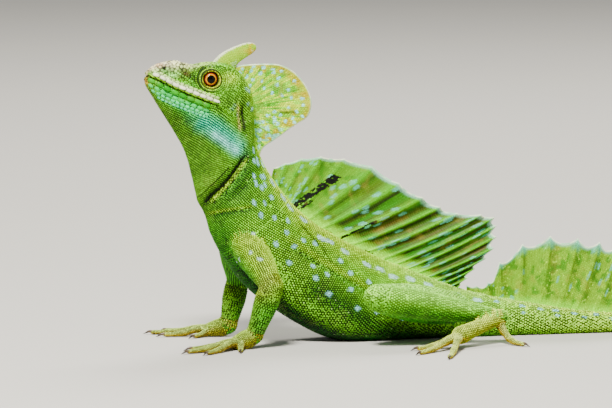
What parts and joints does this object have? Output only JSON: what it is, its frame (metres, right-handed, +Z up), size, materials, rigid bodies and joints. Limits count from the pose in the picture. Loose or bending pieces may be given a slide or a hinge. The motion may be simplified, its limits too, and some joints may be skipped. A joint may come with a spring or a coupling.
{
  "type": "green basilisk",
  "caption": "Still model of an adult male crested lizard propped on its hands, with a fan crest on the head, a rayed sail on the back, a sail on the tail and a long tail laid on the floor.",
  "frame": {"origin": "bottom centre of the bounding box, on the floor", "axes": "+X from the head towards the tail tip, -X the way it faces, -Y its left side, +Z up"},
  "size_m": [0.6258, 0.1796, 0.1495],
  "materials": {
    "leaf_green": "matt scales",
    "flank_green": "matt scales",
    "throat_green": "matt scales",
    "jaw_turquoise": "satin scales",
    "sail_green": "satin membrane",
    "casque_yellow_green": "satin scales",
    "limb_olive": "matt scales",
    "toe_grey_green": "matt scales",
    "eye_orange": "wet gloss"
  },
  "bodies": {
    "root": {"head": "leaf_green", "lower_jaw": "jaw_turquoise", "eye_left": "eye_orange", "eye_right": "eye_orange", "head_casque": "casque_yellow_green", "head_lobe": "casque_yellow_green", "neck": "throat_green", "torso": "flank_green", "back_sail": "sail_green", "tail_base": "leaf_green", "tail_second": "leaf_green", "tail_third": "leaf_green", "tail_tip": "leaf_green", "tail_sail_front": "sail_green", "tail_sail_rear": "sail_green", "upper_arm_left": "leaf_green", "upper_arm_right": "leaf_green", "forearm_left": "limb_olive", "forearm_right": "limb_olive", "hand_left": "toe_grey_green", "hand_right": "toe_grey_green", "thigh_left": "leaf_green", "thigh_right": "leaf_green", "shank_left": "leaf_green", "shank_right": "leaf_green", "foot_left": "toe_grey_green", "foot_right": "toe_grey_green"}
  },
  "joints": []
}
